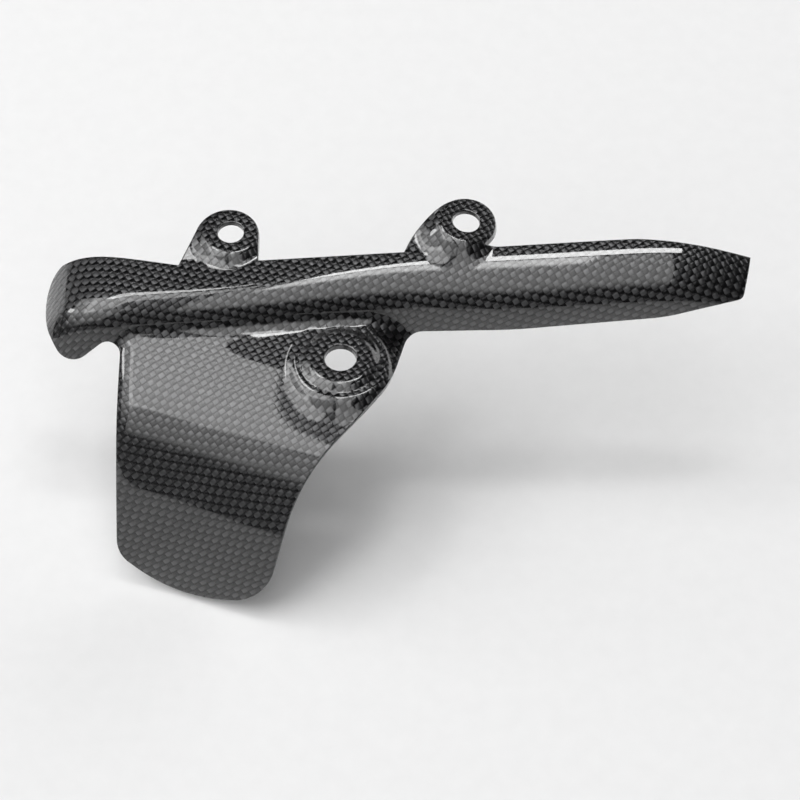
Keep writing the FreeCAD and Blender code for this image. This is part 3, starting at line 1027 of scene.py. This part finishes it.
# Camera: the photograph's view, from in front and 53 degrees above
TARGET = Vector((0.01904, -0.01084, -0.00817))
VIEW_ELEVATION = math.radians(53)
VIEW_DISTANCE = 1.0
FRAME_WIDTH = 0.256
SENSOR = 36.0
camera_data = bpy.data.cameras.new("camera")
camera_data.sensor_width = SENSOR
camera_data.lens = SENSOR * VIEW_DISTANCE / FRAME_WIDTH
camera = bpy.data.objects.new("camera", camera_data)
view_direction = Vector((0.0, -math.cos(VIEW_ELEVATION), math.sin(VIEW_ELEVATION)))
camera.location = TARGET + view_direction * VIEW_DISTANCE
camera.rotation_euler = (math.pi / 2.0 - VIEW_ELEVATION, 0.0, 0.0)
bpy.context.scene.collection.objects.link(camera)
bpy.context.scene.camera = camera

# Lights: soft boxes round the cover, placed after the reflections in the photograph
LIGHT_DISTANCE = 3.0
WORLD_COLOUR = (0.05, 0.05, 0.052, 1.0)


def light_width(span):
    """Width of a light that covers a span of directions in degrees."""
    return 2.0 * LIGHT_DISTANCE * math.tan(math.radians(span[1] - span[0]) / 2.0)


def softbox(name, sideways, elevation, radiance, turn=0.0, fade=0.02):
    """A rectangular light that faces the cover, over a span of directions from it in degrees.

    Sideways is towards the tip's side. Elevation is up from the front, so that past 90 is behind.
    Turn leans the light's upper end to the tip's side.
    Fade is the part of its height, from the lower end, over which it comes up to full strength.
    """
    side, lift = (math.radians(sum(span) / 2.0) for span in (sideways, elevation))
    across = light_width(sideways)
    along = light_width(elevation)
    light = bpy.data.lights.new(name, "AREA")
    light.shape = "RECTANGLE"
    light.size = along
    light.size_y = across
    light.energy = radiance * math.pi * along * across
    away = Vector((math.sin(side), -math.cos(side) * math.cos(lift), math.cos(side) * math.sin(lift)))
    rising = Vector((0.0, math.sin(lift), math.cos(lift)))
    rising.rotate(Quaternion(away, -math.radians(turn)))
    nodes = Nodes(light, "Emission")
    place = nodes.add("ShaderNodeNewGeometry").outputs["Parametric"]
    height = nodes.add("ShaderNodeSeparateXYZ", {0: place}).outputs[0]
    level = nodes.add(
        "ShaderNodeMapRange", {"Value": height, "From Max": fade}, interpolation_type="SMOOTHSTEP"
    )
    nodes.set(Strength=level.outputs[0])
    lamp = bpy.data.objects.new(name, light)
    lamp.location = away * LIGHT_DISTANCE
    lamp.rotation_euler = Matrix((rising, away.cross(rising), away)).transposed().to_euler()
    lamp.visible_camera = False
    bpy.context.scene.collection.objects.link(lamp)


softbox("main_softbox", (-7, 14), (28, 101), 1.7, fade=0.3)
softbox("side_softbox", (-44, -10), (64, 114), 3.0, 15, fade=0.1)
softbox("side_fill", (-50, -13), (20, 63), 1.2, 15, fade=0.3)
softbox("left_fill", (-70, -36), (56, 122), 1.7, 15, fade=0.5)
softbox("overhead_strip", (-3, 15), (103, 110), 13.5)
softbox("overhead_patch", (-3, 1), (84, 102), 6, fade=0.5)
softbox("left_bar", (-18, -11), (104, 122), 8, 38)
softbox("edge_strip", (-66, -60), (124, 140), 8)
softbox("right_back_fill", (14, 68), (139, 178), 2.2)

world = bpy.data.worlds.new("studio")
world.use_nodes = True
world.node_tree.nodes["Background"].inputs["Color"].default_value = WORLD_COLOUR
bpy.context.scene.world = world
bpy.context.scene.view_settings.view_transform = "Standard"
